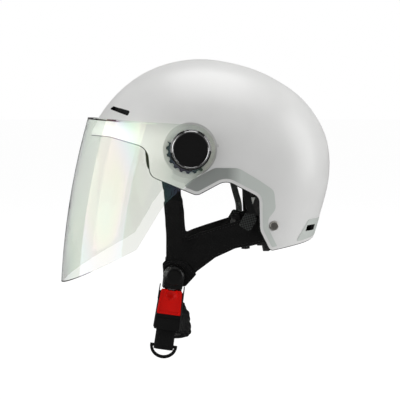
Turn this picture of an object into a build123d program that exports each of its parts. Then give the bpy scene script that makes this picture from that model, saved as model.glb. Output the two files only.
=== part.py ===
from build123d import *
import math
import os

# Open-face scooter helmet with a wrap visor, in millimetres.
# Frame: +Z up, -X the way the wearer looks, wearer's left side at -Y.
# Origin: centre of the head space, at the level of the ear openings.

# ---------------------------------------------------------------- driving dimensions
HALF_WIDTH = 107.0            # half the shell's width
POLE_X, POLE_Z = 20.0, 2.0    # sideways axis that the shell's arches turn about
EXPONENT = 2.4                # squareness of each arch
SHELL_T = 3.0                 # shell wall
LINER_GAP = 0.3               # shell to foam
FOAM_TOP, FOAM_SIDE = 20.0, 15.0
TRIM_T = 1.1                  # rubber edge trim, inner lip
TRIM_DROP = 0.8               # how far the trim hangs below the edge
TRIM_COVER = 2.4              # how far its lip reaches up inside the shell
PIVOT_X, PIVOT_Z = -15.2, 56.9    # visor hinge axis, parallel to Y
SEAT_Y = 102.0                # flat seat for the hinge plates
PLATE_T = 3.4
PLATE_R, TEETH_R = 20.2, 24.2
EAR_IN, EAR_OUT = 105.7, 107.9    # visor cheek, inner and outer face
EAR_R = 25.0
HUB_R = 9.0
HUB_BORE = 6.0
RUN_CLEAR = 0.08              # radial running clearance
CAP_R, CAP_IN, CAP_OUT = 20.5, 108.2, 116.0
VISOR_RADIUS = 791.0          # upright curve of the visor
VISOR_CX, VISOR_CZ = 641.0, -128.0
VISOR_DEPTH = 96.0            # front of the visor to where its cheeks run flat
VISOR_T = 2.2
SCREW_X, SCREW_Z = 69.9, -20.6    # rear strap screw
FRONT_X, FRONT_Z = -33.2, 34.0    # front strap anchor
WEB_W, WEB_T = 17.6, 1.7      # webbing
PULL_W = 20.0                 # webbing of the adjuster tail
SLACK_BACK, SLACK_DROP = 7.0, 9.0  # the right strap set hangs looser: further back and lower
SLEEVE_T = 4.2                # padded strap sleeve
HANG_X, HANG_Y, HANG_Z, LEAN = -29.6, -81.3, -61.7, 8.4   # top of the buckle group
BAND_R, BAND_CX = 130.0, -65.0    # nape bands: arc about an upright axis
BAND_T = 1.6
TAB_X, TAB_Z = 44.3, -16.7
DIAL_Z, DIAL_R = -36.0, 19.5
BAR_DROP = 83.0               # pull ring's bar below the top of the buckle group

# radius of the arches against the angle from +X (rear) over the crown to -X (front)
ARCH = [(-75, 112.5), (-50, 110.5), (-30, 109.0), (-12, 108.2), (0, 112.3), (14, 121.3),
        (30, 131.6), (48, 138.1), (66, 140.9), (84, 144.9), (102, 151.5), (120, 155.6),
        (136, 155.7), (152, 153.6), (168, 149.5), (184, 144.5), (200, 139.0)]

# lower edge of the shell in the X-Z plane, front to rear, with corner radii
EDGE = [(-150, 72.4, 0), (-96, 69.6, 30), (-57.2, 58.6, 15), (-55.2, 30.5, 10), (-8.5, 11.2, 9),
        (20.5, 26.8, 16), (54.5, 9.2, 9), (55.6, -24.5, 16), (66.8, -46.0, 5), (150, -32.8, 0)]


# ---------------------------------------------------------------- helpers
def arch_radius(angle):
    """Shell radius about the sideways axis (smooth through the ARCH pairs)."""
    for i in range(1, len(ARCH) - 2):
        a0, r0 = ARCH[i]
        a1, r1 = ARCH[i + 1]
        if a0 <= angle <= a1:
            am, rm = ARCH[i - 1]
            ap, rp = ARCH[i + 2]
            m0 = (r1 - rm) / (a1 - am) * (a1 - a0)
            m1 = (rp - r0) / (ap - a0) * (a1 - a0)
            t = (angle - a0) / (a1 - a0)
            return ((2 * t**3 - 3 * t**2 + 1) * r0 + (t**3 - 2 * t**2 + t) * m0
                    + (-2 * t**3 + 3 * t**2) * r1 + (t**3 - t**2) * m1)
    raise ValueError(angle)


def shell_y(x, z, off_r=0.0, off_w=0.0):
    """Half width of the shell surface at (x, z), set inward by the offsets."""
    rho = math.hypot(x - POLE_X, z - POLE_Z)
    angle = math.degrees(math.atan2(z - POLE_Z, x - POLE_X))
    angle += 360 if angle < -70 else 0
    f = rho / (arch_radius(angle) - off_r)
    return (HALF_WIDTH - off_w) * max(0.0, 1 - f**EXPONENT) ** (1 / EXPONENT)


def skin(off_r, off_w, a_from=-48.0, a_to=183.0, thin=0.12, na=34, nt=29):
    """One shell-shaped surface, set inward by off_r on the arches and off_w sideways."""
    reach = math.acos(thin ** (EXPONENT / 2))
    turn = math.atan2(math.sin(reach) ** (2 / EXPONENT), math.cos(reach) ** (2 / EXPONENT))
    rows = []
    for i in range(na):
        angle = a_from + (a_to - a_from) * i / (na - 1)
        r, w, a = arch_radius(angle) - off_r, HALF_WIDTH - off_w, math.radians(angle)
        row = []
        for j in range(nt):
            q = turn * (-1 + 2 * j / (nt - 1))
            k = (abs(math.cos(q)) ** EXPONENT + abs(math.sin(q)) ** EXPONENT) ** (-1 / EXPONENT)
            rho = r * k * math.cos(q)
            row.append(Vector(POLE_X + rho * math.cos(a), w * k * math.sin(q),
                              POLE_Z + rho * math.sin(a)))
        rows.append(row)
    return Face.make_surface_from_array_of_points(rows, tol=0.02, min_deg=3, max_deg=5)


def ruled_solid(outer, inner):
    """Solid between two four-edged surfaces."""
    sides = []
    for e in outer.edges():
        mate = min(inner.edges(), key=lambda f: (f.center() - e.center()).length)
        sides.append(Face.make_surface_from_curves(e, mate))
    return Solid(Shell([outer, inner] + sides))


def layer(outer, inner, **kw):
    """Shell-shaped layer between two inward offsets, each (arches, sideways)."""
    return ruled_solid(skin(*outer, **kw), skin(*inner, **kw))


def prism(points, y0, y1, grow=0.0):
    """Outline of (x, z[, radius]) corners in the side view, run from y0 to y1."""
    pts = [(p[0], p[1]) for p in points]
    radii = [p[2] if len(p) > 2 else 0 for p in points]
    wire = FilletPolyline(*pts, radius=radii, close=True) if any(radii) else Polyline(*pts, close=True)
    face = make_face(wire)
    if grow:
        face = offset(face, amount=grow, kind=Kind.INTERSECTION)
    return extrude(Pos(0, max(y0, y1), 0) * (Plane.XZ * face), amount=abs(y1 - y0))


def rod(x, z, r, y0, y1, thin=0.0):
    """Round bar along Y."""
    h = abs(y1 - y0)
    bar = Cylinder(r, h) if not thin else Cylinder(r, h) - Cylinder(thin, h + 1)
    return Pos(x, (y0 + y1) / 2, z) * Rot(90, 0, 0) * bar


def block(x0, x1, y0, y1, z0, z1):
    return Pos((x0 + x1) / 2, (y0 + y1) / 2, (z0 + z1) / 2) * Box(abs(x1 - x0), abs(y1 - y0), abs(z1 - z0))


def other_side(shape):
    return mirror(shape, about=Plane.XZ)


def smooth(points, n=8):
    """Points on a soft curve through the given points."""
    p = [Vector(*q) for q in points]
    p = [p[0] * 2 - p[1]] + p + [p[-1] * 2 - p[-2]]
    out = []
    for i in range(1, len(p) - 2):
        for k in range(n):
            t = k / n
            out.append(((p[i] * 2) + (p[i + 1] - p[i - 1]) * t
                        + (p[i - 1] * 2 - p[i] * 5 + p[i + 1] * 4 - p[i + 2]) * t**2
                        + (p[i] * 3 - p[i - 1] - p[i + 1] * 3 + p[i + 2]) * t**3) * 0.5)
    out.append(p[-2])
    return out


def strip(points, width, thick, across=(1, 0, 0), shift=0.0, n=6):
    """Flat strap along a soft curve; width lies along 'across', shift moves it off the curve."""
    mid = smooth(points, n)
    rails = [[], [], [], []]
    for i, p in enumerate(mid):
        along = (mid[min(i + 1, len(mid) - 1)] - mid[max(i - 1, 0)]).normalized()
        wide = Vector(*across)
        wide = (wide - along * wide.dot(along)).normalized()
        up = along.cross(wide)
        w = width(i / (len(mid) - 1)) if callable(width) else width
        for k, (a, b) in enumerate([(-1, -1), (1, -1), (1, 1), (-1, 1)]):
            rails[k].append(p + wide * (a * w / 2) + up * (shift + b * thick / 2))
    curves = [Spline(*r).edge() for r in rails]
    faces = [Face.make_surface_from_curves(curves[k], curves[(k + 1) % 4]) for k in range(4)]
    for end in (0, -1):
        faces.append(Face(Polyline(*[r[end] for r in rails], close=True).wire()))
    solid = Solid(Shell(faces))
    return solid


def hang(shape):
    """Place a shape of the buckle group: x across, -y outward, z = minus the drop."""
    return Pos(HANG_X, HANG_Y, HANG_Z) * Rot(0, LEAN, 0) * shape


def edge_zone(grow, y=130):
    """Everything above the shell's lower edge, the edge moved down by 'grow'."""
    pts = [(x, z) for x, z, r in EDGE] + [(150, 190), (-150, 190)]
    radii = [r for x, z, r in EDGE] + [0, 0]
    face = make_face(FilletPolyline(*pts, radius=radii, close=True))
    if grow:
        face = offset(face, amount=grow, kind=Kind.INTERSECTION)
    return extrude(Pos(0, y, 0) * (Plane.XZ * face), amount=2 * y)


# ---------------------------------------------------------------- shell group
FRONT_VENT = [(-96.4, 97.6, 1), (-92.2, 100.6, 1.5), (-75.2, 95.6, 1.5), (-77.6, 90.6, 1.5)]


def rear_vents():
    slot = block(80, 150, 49, 69, -28.3, -22.3)
    return slot + other_side(slot)


def hinge_pocket(side):
    """Flat round seat with a crescent toward the chin, where the detent bumps travel."""
    fan = [(PIVOT_X + 70 * math.cos(math.radians(a)), PIVOT_Z + 70 * math.sin(math.radians(a)))
           for a in (150, 195, 240, 284)]
    near, far = side * SEAT_Y, side * 125
    crescent = rod(PIVOT_X, PIVOT_Z, 34.2, near, far) & prism([(PIVOT_X, PIVOT_Z)] + fan, near, far)
    return rod(PIVOT_X, PIVOT_Z, 26.8, near, far) + crescent


def outer_shell():
    edge = edge_zone(0)
    body = layer((0, 0), (SHELL_T, SHELL_T)) & edge & block(-200, 200, -200, 0, -200, 200)
    backing = layer((0.5, 0.5), (14, 14)) & edge
    hollow = layer((SHELL_T - 0.6, SHELL_T - 0.6), (34, 34))
    body += backing & rod(PIVOT_X, PIVOT_Z, 37, -98.6, -120)
    body += rod(PIVOT_X, PIVOT_Z, 27.4, -84, -SEAT_Y) - hollow
    body += backing & rod(SCREW_X, SCREW_Z, 4.6, -89.3, -96)
    body -= hinge_pocket(-1)
    body -= rod(PIVOT_X, PIVOT_Z, 7.6, -80, -98.45)            # flat for the nut
    body -= rod(PIVOT_X, PIVOT_Z, 2.6, -80, -125)
    body -= rod(SCREW_X, SCREW_Z, 5.5, -97.0, -110)
    body -= rod(SCREW_X, SCREW_Z, 2.3, -80, -110)
    body -= rod(FRONT_X, FRONT_Z, 1.9, -90, -101.2)
    body -= prism(FRONT_VENT, -95, -1)
    body -= rear_vents()
    return body + other_side(body)


def edge_trim():
    """Rubber lip of L section round the whole lower edge: under the edge and up its inner face."""
    depth = SHELL_T + TRIM_T
    band = layer((0.8, 0.8), (depth, depth)) & (edge_zone(TRIM_DROP) - edge_zone(-TRIM_COVER))
    return band - (layer((-0.05, -0.05), (SHELL_T + 0.05, SHELL_T + 0.05)) & edge_zone(0.05))


def liner_foam():
    g = SHELL_T + LINER_GAP
    foam = layer((g, g), (SHELL_T + FOAM_TOP, SHELL_T + FOAM_SIDE)) & edge_zone(-4.6)
    vents = prism([(-99, 96), (-93, 103), (-72, 97), (-75, 88)], -95, 95) + block(60, 150, 47, 71, -30.5, -20.3)
    vents += block(60, 150, -71, -47, -30.5, -20.3)
    cut = vents & layer((g - 1, g - 1), (g + 9, g + 9))
    for side in (-1, 1):
        cut += rod(PIVOT_X, PIVOT_Z, 37.6, side * 98.2, side * 120)        # hinge seat
        cut += rod(PIVOT_X, PIVOT_Z, 28.0, side * 97.4, side * 120)
        cut += rod(PIVOT_X, PIVOT_Z, 8.0, side * 92, side * 120)           # nut
        cut += block(-46, -20.5, side * 92.5, side * 120, 0, 54)           # front strap channel
        cut += rod(FRONT_X, FRONT_Z, 5.6, side * 90.9, side * 120)         # rivet head
        cut += block(44, 90, side * 80, side * 120, -60, -2)               # rear strap end
        cut += block(33, 51, side * 90.5, side * 120, 0, 36)               # nape hanger channel
    return foam - cut


def pads():
    """Comfort pads on the foam: crown, brow, rear and both temples."""
    t0 = (SHELL_T + FOAM_TOP + 0.3, SHELL_T + FOAM_SIDE + 0.3)
    t1 = (t0[0] + 7, t0[1] + 7)
    brow = layer(t0, t1, a_from=130, a_to=183, na=14)
    crown = layer(t0, t1, a_from=48, a_to=130, na=16)
    rear = layer(t0, t1, a_from=-40, a_to=60, na=18)
    side = layer((t0[0] + 6, t0[1]), (t0[0] + 12, t1[1]), a_from=-48, a_to=183)
    temple = side & prism([(-30, 36, 8), (-30, 74, 12), (58, 74, 12), (66, 34, 8), (20, 44, 20)], -40, -120)
    return {
        "brow_pad": brow & prism([(-140, 76), (-140, 112), (-40, 112), (-40, 76)], -66, 66),
        "crown_pad": crown & block(-22, 66, -44, 44, 60, 160),
        "rear_pad": rear & block(60, 140, -58, 58, -18, 44),
        "temple_pad_left": temple,
        "temple_pad_right": other_side(temple),
    }


def side_reflector():
    area = [(-20.6, 21.2), (-13, 27.0), (9.3, 38.6, 12), (33.5, 38.4, 16), (55.5, 25.2, 10), (69.6, 15.5, 9),
            (71.6, -3.5, 9), (63.4, -13.5, 10), (64.5, -24.0, 10), (76.4, -46.5), (60, -60), (30, -30), (-8, -5)]
    foil = layer((-0.3, -0.3), (0, 0)) & edge_zone(-3.0)
    return foil & prism(area, -60, -130)


def rear_reflector():
    foil = layer((-0.3, -0.3), (0, 0)) & edge_zone(-2.8)
    foil = foil & prism([(109.3, -16.0, 2.5), (150, -16.3), (150, -39), (94.6, -38.2, 2)], -100, 100)
    return foil - rear_vents()


# ---------------------------------------------------------------- visor and its hinges
def hinge_plate():
    plate = rod(PIVOT_X, PIVOT_Z, PLATE_R, -SEAT_Y, -SEAT_Y - PLATE_T)
    fan = [(PIVOT_X + 60 * math.cos(math.radians(a)), PIVOT_Z + 60 * math.sin(math.radians(a)))
           for a in (160, 200, 245, 302)]
    rim = rod(PIVOT_X, PIVOT_Z, TEETH_R, -SEAT_Y, -SEAT_Y - PLATE_T)
    plate += rim & prism([(PIVOT_X, PIVOT_Z)] + fan, -SEAT_Y, -SEAT_Y - PLATE_T)
    for k in range(8):
        a = math.radians(167 + 17.6 * k)
        x, z = PIVOT_X + (TEETH_R + 0.5) * math.cos(a), PIVOT_Z + (TEETH_R + 0.5) * math.sin(a)
        plate -= rod(x, z, 2.5, -SEAT_Y + 1, -SEAT_Y - PLATE_T - 1)
    plate += rod(PIVOT_X, PIVOT_Z, HUB_R, -SEAT_Y - 1, -108.0)
    plate -= rod(PIVOT_X, PIVOT_Z, 6.0, -103.9, -110)
    return plate - rod(PIVOT_X, PIVOT_Z, 2.6, -100, -106)


def pivot_screw():
    screw = rod(PIVOT_X, PIVOT_Z, 4.4, -104.0, -105.2) + rod(PIVOT_X, PIVOT_Z, 2.4, -94.6, -104.0)
    return screw - block(PIVOT_X - 2.2, PIVOT_X + 2.2, -104.7, -106, PIVOT_Z - 0.5, PIVOT_Z + 0.5)


def pivot_nut():
    return rod(PIVOT_X, PIVOT_Z, 7.0, -95.6, -98.3, thin=2.45)


def hinge_cap():
    """Quarter-turn cap: bevelled rim, sunk face, one pointer notch, stem into the hub."""
    cap = rod(PIVOT_X, PIVOT_Z, CAP_R, -CAP_IN, -CAP_OUT)
    rim = cap.edges().filter_by(GeomType.CIRCLE).sort_by(Axis.Y)[0]
    cap = chamfer(rim, 2.4)
    cap -= rod(PIVOT_X, PIVOT_Z, 15.6, -CAP_OUT + 1.1, -CAP_OUT - 1)
    a = math.radians(101)
    notch = Pos(PIVOT_X + 18.9 * math.cos(a), -CAP_OUT, PIVOT_Z + 18.9 * math.sin(a)) * Rot(0, -11, 0) * Box(3.2, 3.6, 4.2)
    cap -= notch
    cap += rod(PIVOT_X, PIVOT_Z, HUB_BORE - RUN_CLEAR, -105.6, -CAP_IN - 0.5)
    return cap


def visor_profile(front, half, n=20):
    """Plan curve of the visor in (reach from the axis, y): superelliptic nose, flat cheeks."""
    flat = VISOR_RADIUS - VISOR_DEPTH
    pts = []
    for i in range(n + 1):
        q = math.pi / 2 * (1 - 2 * i / n)
        k = (abs(math.cos(q)) ** 2.3 + abs(math.sin(q)) ** 2.3) ** (-1 / 2.3)
        pts.append((flat + (front - flat) * k * math.cos(q), half * k * math.sin(q)))
    return pts


def visor_sweep(outer, inner, tail):
    """Band between two plan curves, turned about the visor's upright-curve axis."""
    def at(p):
        return (VISOR_CX - p[0], p[1], VISOR_CZ)
    back = VISOR_RADIUS - VISOR_DEPTH - tail
    edges = [Spline(*[at(p) for p in outer]), Spline(*[at(p) for p in inner])]
    if tail:
        o0, o1, i0, i1 = outer[0], outer[-1], inner[0], inner[-1]
        edges += [Polyline(at(o0), at((back, o0[1])), at((back, i0[1])), at(i0)),
                  Polyline(at(o1), at((back, o1[1])), at((back, i1[1])), at(i1))]
    else:
        edges += [Line(at(outer[0]), at(inner[0])), Line(at(outer[-1]), at(inner[-1]))]
    wire = Wire([e for c in edges for e in c.edges()])
    return Solid.revolve(Face(wire), 24, Axis((VISOR_CX, 0, VISOR_CZ), (0, 1, 0)))


def visor():
    outer = visor_profile(VISOR_RADIUS, EAR_OUT)
    inner = visor_profile(VISOR_RADIUS - VISOR_T, EAR_IN)
    head = rod(PIVOT_X, PIVOT_Z, EAR_R, -130, 130)
    cheek = prism([(-190, 93.45), (-13.6, 81.85), (PIVOT_X, PIVOT_Z), (0.9, 37.9), (-41.5, 2.6, 60),
                   (-69.3, -43.4, 5.5), (-190, -107.0)], -130, 130) + head
    lens = visor_sweep(outer, inner, 90) & cheek
    shelf = visor_sweep(visor_profile(VISOR_RADIUS - VISOR_T + 0.2, EAR_IN + 0.1),
                        visor_profile(VISOR_RADIUS - 16.5, EAR_IN - 0.4), 0)
    shelf = shelf & prism([(-190, 93.4), (-48, 84.05), (-48, 81.85), (-190, 91.2)], -130, 130)
    lens += shelf - layer((-1.8, -1.8), (12, 12))
    for side in (-1, 1):
        lens -= rod(PIVOT_X, PIVOT_Z, HUB_R + RUN_CLEAR, side * 100, side * 112)
        for a in (210, 244, 278):
            q = math.radians(a)
            lens += rod(PIVOT_X + 26.6 * math.cos(q), PIVOT_Z + 26.6 * math.sin(q), 1.5, side * 104.6, side * 106)
    return lens


# ---------------------------------------------------------------- strap system (left side)
FRONT_PATH = [(-94.5, 41), (-94.6, 34), (-93.7, 24), (-91.9, 12), (-89.3, 0), (-84.2, -20), (-79.3, -42),
              (-76.2, -60), (-74.8, -73), (-74.2, -90), (-73.9, -106)]
FRONT_XS = (-33.2, -33.2, -33.1, -32.8, -31.4, -29.9, -29.3, -29.6, -31.2)
ARM_Y, ARM_SLOPE = -76.2, 0.1167     # rear arm: y at x = -20, and outward splay


def limited(t):
    return max(0.0, min(1.0, t))


def slack_front(points):
    """Front strap corners of the looser right side."""
    return [(p[0] + SLACK_BACK * limited((34 - p[1]) / 45), p[1] - SLACK_DROP * limited((2 - p[1]) / 50), *p[2:])
            for p in points]


def slack_arm(points):
    """Rear arm corners of the looser right side; the screw end stays."""
    return [(p[0], p[1] - SLACK_DROP * limited((72 - p[0]) / 25), *p[2:]) for p in points]


def arm_slab(thick, y_at=ARM_Y):
    """Flat sheet that carries the rear strap arm, splayed out toward the rear screw."""
    def y(x, d):
        return y_at - ARM_SLOPE * (x + 20) + d
    pts = [(-40, y(-40, -thick / 2)), (90, y(90, -thick / 2)), (90, y(90, thick / 2)), (-40, y(-40, thick / 2))]
    return extrude(Pos(0, 0, -100) * make_face(Polyline(*pts, close=True)), amount=140)


def front_sheet(thick):
    return strip([(-25, y, z) for y, z in FRONT_PATH], 90, thick)


def strap_sleeve(loose=False):
    """Y-shaped padded cover: front arm, rear arm to the screw, wide hem at the bottom."""
    front = [(-42.0, 4.5, 2), (-22.6, 4.5, 2), (-22.4, 1.5), (-20.8, -4, 3), (-19.2, -34, 1.5), (-14, -34),
             (-10, -68), (-8.6, -73, 3), (-19, -83.6, 4), (-36, -84, 5), (-41.6, -77, 4), (-42.6, -60, 4),
             (-38.9, -56.5, 2), (-38.9, -33), (-40.6, -8)]
    arm = [(-19.0, -34.6), (-4, -28.2), (11.3, -23.2, 60), (36.6, -15.6, 30), (48, -9.5, 12), (66, -10.5, 6),
           (75.3, -14, 5), (75.3, -27, 6), (62, -38.6, 6), (54.8, -39.9, 40), (31.7, -44.5, 60),
           (11.4, -54.2, 60), (-9.2, -70.2), (-20, -70)]
    if loose:
        front, arm = slack_front(front), slack_arm([(p[0], p[1]) for p in arm])
    sleeve = (prism(front, -60, -110) & front_sheet(SLEEVE_T)) + (prism(arm, -60, -110) & arm_slab(SLEEVE_T))
    sleeve -= strip(webbing_path(LOOSE_END if loose else SNUG_END, loose), WEB_W + 0.6, WEB_T + 0.7)
    sleeve -= prism(rear_outline(loose), -60, -110, 0.5) & arm_slab(WEB_T + 0.6)
    sleeve -= rod(SCREW_X, SCREW_Z, 2.6, -80, -100)
    sleeve -= rod(TAB_X, tab_z(loose), 2.3, -70, -100)
    return sleeve if loose else sleeve - rod(*rivet_xz(), 3.2, -60, -100)


def tab_z(loose=False):
    return TAB_Z - (SLACK_DROP if loose else 0.0)


def rivet_xz():
    return (HANG_X - 0.146 * 11, HANG_Z - 0.989 * 11)


SNUG_END = [(-32.9, -73.9, -86), (-32.0, -68, -104)]
LOOSE_END = [(-25.6, -74.2, -90), (-25.6, -73.4, -100), (-25.9, -69, -110)]


def webbing_path(tail=None, loose=False):
    """Centre line of the front webbing down into the sleeve, then the given tail."""
    xz = [(x, z) for x, (y, z) in zip(FRONT_XS, FRONT_PATH)]
    if loose:
        xz = [(x + SLACK_BACK * limited((34 - z) / 45), z) for x, z in xz]
    return [(x, y, z) for (x, z), (y, _) in zip(xz, FRONT_PATH)] + ([(-32.3, -74.4, -79.5)] if tail is None else tail)


def front_webbing():
    web = strip(webbing_path(), WEB_W, WEB_T)
    web -= rod(FRONT_X, FRONT_Z, 2.1, -90, -105)
    return web - rod(*rivet_xz(), 3.2, -60, -100)


REAR_WEB = [(-15, -59), (-15, -41), (10, -29.8), (36, -22.0), (60, -13.6), (73, -13.6), (73, -28.5), (58, -32.4),
            (34, -40.2), (10, -48.4)]


def rear_outline(loose=False):
    return slack_arm(REAR_WEB) if loose else REAR_WEB


def rear_webbing(loose=False):
    web = prism(rear_outline(loose), -60, -110) & arm_slab(WEB_T)
    web -= rod(TAB_X, tab_z(loose), 2.3, -70, -100)
    web -= strip(webbing_path(LOOSE_END if loose else None, loose), WEB_W + 1.6, 8)
    return web - rod(SCREW_X, SCREW_Z, 2.6, -80, -100)


def sleeve_collar(loose=False):
    """Stitched hem patch over the lower end of the sleeve."""
    outline = [(-42.9, -61.5, 5), (-38, -57.6, 6), (-20, -57.4, 20), (-6.6, -71.4, 4), (-19, -84.4, 4), (-37, -85, 5),
               (-41.9, -77, 4)]
    if loose:
        return prism(slack_front(outline), -80.9, -81.9)
    return prism(outline, -79.9, -81.0) - rod(*rivet_xz(), 3.2, -60, -100)


def front_anchor():
    """Flanged rivet: head inside the webbing, collar between the webbing and the shell."""
    pin = rod(FRONT_X, FRONT_Z, 1.85, -92.5, -101.0) + rod(FRONT_X, FRONT_Z, 3.4, -95.7, -97.8)
    return pin + rod(FRONT_X, FRONT_Z, 4.6, -91.6, -93.3)


def rear_screw():
    """Pan-head screw that holds the rear strap end to the shell."""
    y = -97.1
    head = rod(SCREW_X, SCREW_Z, 4.6, y, y - 2.2)
    head = fillet(head.edges().filter_by(GeomType.CIRCLE).sort_by(Axis.Y)[0], 1.2)
    head -= rod(SCREW_X, SCREW_Z, 1.7, y - 1.1, y - 3)
    return head + rod(SCREW_X, SCREW_Z, 2.2, -83.0, y - 0.1)


def rear_nut():
    y = ARM_Y - ARM_SLOPE * (SCREW_X + 20) + SLEEVE_T / 2 + 0.6
    return rod(SCREW_X, SCREW_Z, 5.2, y, y + 3.2, thin=2.25)


# ---------------------------------------------------------------- buckle group (left side)
def plate_uv(points, y0, y1):
    """Outline of (across, drop[, radius]) corners, run from y0 to y1 in the group's own frame."""
    return prism([(p[0], -p[1], *(p[2:])) for p in points], y0, y1)


def tongue_head():
    """Domed cap riveted through the strap end, with a slot for the steel tongue."""
    dome = Pos(0, 0, -11) * Rot(90, 0, 0) * Pos(0, 0, 4.6) * Cylinder(11, 9.2)
    dome = fillet(dome.edges().filter_by(GeomType.CIRCLE).sort_by(Axis.Y)[0], 5.5)
    skirt = plate_uv([(-10.6, 11), (10.6, 11), (10.2, 24.2, 2), (-10.2, 24.2, 2)], 0, -7.4)
    skirt = fillet(skirt.faces().sort_by(Axis.Y)[0].edges(), 1.8)
    head = dome + skirt
    head -= plate_uv([(-7.7, 12), (7.7, 12), (7.7, 30), (-7.7, 30)], -2.3, -0.2)
    head += rod(0, -11, 2.95, -0.1, 10.1)
    return hang(head)


def rivet_washer():
    return hang(rod(0, -11, 6.0, 8.9, 10.1, thin=3.0))


def tongue():
    blade = plate_uv([(-7.2, 12.6), (7.2, 12.6), (7.2, 38), (4.6, 42.5), (-4.6, 42.5), (-7.2, 38)], -2.0, -0.5)
    blade -= plate_uv([(-3.4, 31), (3.4, 31), (3.4, 36.5), (-3.4, 36.5)], -4, 1)
    return hang(blade)


def buckle_frame():
    """Folded steel channel behind the release button."""
    back = plate_uv([(-12.4, 27.5), (12.4, 27.5), (13.4, 66, 1.5), (-13.4, 66, 1.5)], 0.7, 2.1)
    right = plate_uv([(11.9, 20.5), (12.9, 20.5), (14.4, 66.6), (13.3, 66.6)], 2.1, -3.6)
    left = plate_uv([(-12.9, 20.5), (-11.9, 20.5), (-12.5, 36), (-13.0, 36)], 2.1, -3.6)
    hem_gap = plate_uv([(-16, 19), (16, 19), (16, 25.4), (-16, 25.4)], 3.0, -0.1)
    return hang(back + (right - hem_gap) + (left - hem_gap))


def buckle_body():
    """Black moulded end: webbing slot below, side rails and latch nose under the button."""
    body = plate_uv([(-12.5, 50.4, 1), (12.5, 50.4, 1), (12.9, 66.2, 1.5), (-12.9, 66.2, 1.5)], 0.5, -7.2)
    body -= plate_uv([(-10.4, 52), (10.4, 52), (10.4, 70), (-10.4, 70)], -6.1, 0.6)
    lip = plate_uv([(-12.6, 54.6), (12.6, 54.6), (12.9, 66.0, 1), (-12.9, 66.0, 1)], -7.0, -8.0)
    body += lip
    for s in (-1, 1):
        body += plate_uv([(s * 9.4, 28), (s * 11.3, 28), (s * 12.4, 51), (s * 9.4, 51)], 0.5, -2.45)
    body += plate_uv([(-2.8, 43.4), (2.8, 43.4), (2.8, 50.6), (-2.8, 50.6)], -1.0, 0.5)
    body -= rod(0, -47.2, 1.75, -3, 2)
    return hang(body)


def release_button():
    """Red press button: raised rim, sloping face, finger hollow at the top."""
    top, bottom = 24.9, 49.9
    plan = [(-10.6, top, 1.5), (10.6, top, 1.5), (12.2, bottom, 1.5), (-12.2, bottom, 1.5)]
    key = plate_uv(plan, -4.4, -9.0)
    face = plate_uv([(-9.0, top + 1.4, 1), (9.0, top + 1.4, 1), (10.4, bottom - 2, 1), (-10.4, bottom - 2, 1)], -8.2, -10)
    key -= face
    key -= Pos(0, -12.8, -(top + 4.5)) * Sphere(7.6)
    key -= plate_uv([(-6, top - 1), (6, top - 1), (3, top + 0.9), (-3, top + 0.9)], -3, -12)
    return hang(key)


def button_spring():
    """Compression spring between the button and the frame, beside the tongue."""
    path = Helix(0.95, 3.8, 1.15)
    wire = Plane(origin=path @ 0, z_dir=path % 0) * Circle(0.22)
    return hang(Pos(0, 0.35, -47.2) * Rot(90, 0, 0) * sweep(wire, path=path))


def pull_webbing():
    """Adjuster tail: doubled webbing out of the buckle, looped round the D-ring's bar."""
    yz = [(-5.1, -55), (-5.1, -63), (-5.2, -71.4), (-6.2, -78.4), (-6.85, -83.0), (-6.1, -85.4), (-4.05, -86.3),
          (-2.0, -85.4), (-1.25, -83.0), (-1.9, -78.4), (-2.9, -71.4), (-3.1, -63), (-3.1, -55)]
    return hang(strip([(0, y, z) for y, z in yz], PULL_W, WEB_T))


def d_ring():
    """Half-round ring with a round bar that the webbing turns about."""
    n = 24

    def arc(rx, rz):
        return [(rx * math.cos(math.pi * k / n), -BAR_DROP - rz * math.sin(math.pi * k / n)) for k in range(n + 1)]
    hoop = make_face(Polyline(*arc(13.9, 12.9), close=True)) - make_face(Polyline(*arc(11.0, 9.9), close=True))
    ring = extrude(Pos(0, -2.45, 0) * (Plane.XZ * hoop), amount=3.2)
    return hang(ring + Pos(0, -4.05, -BAR_DROP) * Rot(0, 90, 0) * Cylinder(1.6, 27.8))


# ---------------------------------------------------------------- chin strap and right side
CHIN_TAIL = [(-25.6, 74.2, -90), (-25.6, 73.0, -101), (-26.2, 62, -117), (-26.2, 38, -131), (-27.0, 8, -138),
             (-28.4, -20, -140), (-31.5, -44, -139)]
CHIN_END = [(-32.0, -46, -138.9), (-36.8, -63, -136.8), (-39.0, -74.5, -134.2), (-39.7, -80.9, -130.7),
            (-39.1, -82.3, -125.4), (-37.7, -82.3, -116.9)]


def chin_strap():
    """Webbing from the right anchor, through the right sleeve and under the chin, into the pad."""
    right = [(x, -y, z) for x, y, z in webbing_path([], True)]
    web = strip(right + CHIN_TAIL, WEB_W, WEB_T)
    return web - rod(FRONT_X, FRONT_Z, 2.1, 90, 105)


def chin_strap_end():
    """The same webbing from the pad up into the buckle; it leaves with the buckle."""
    return strip(CHIN_END, WEB_W, WEB_T)


def chin_pad():
    """Soft sleeve round the strap under the chin."""
    pad = strip(CHIN_TAIL[2:], lambda t: 40 - 17 * abs(2 * t - 1) ** 3, 8.0)
    return pad - strip(CHIN_TAIL, WEB_W + 3.0, WEB_T + 0.7)


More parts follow.
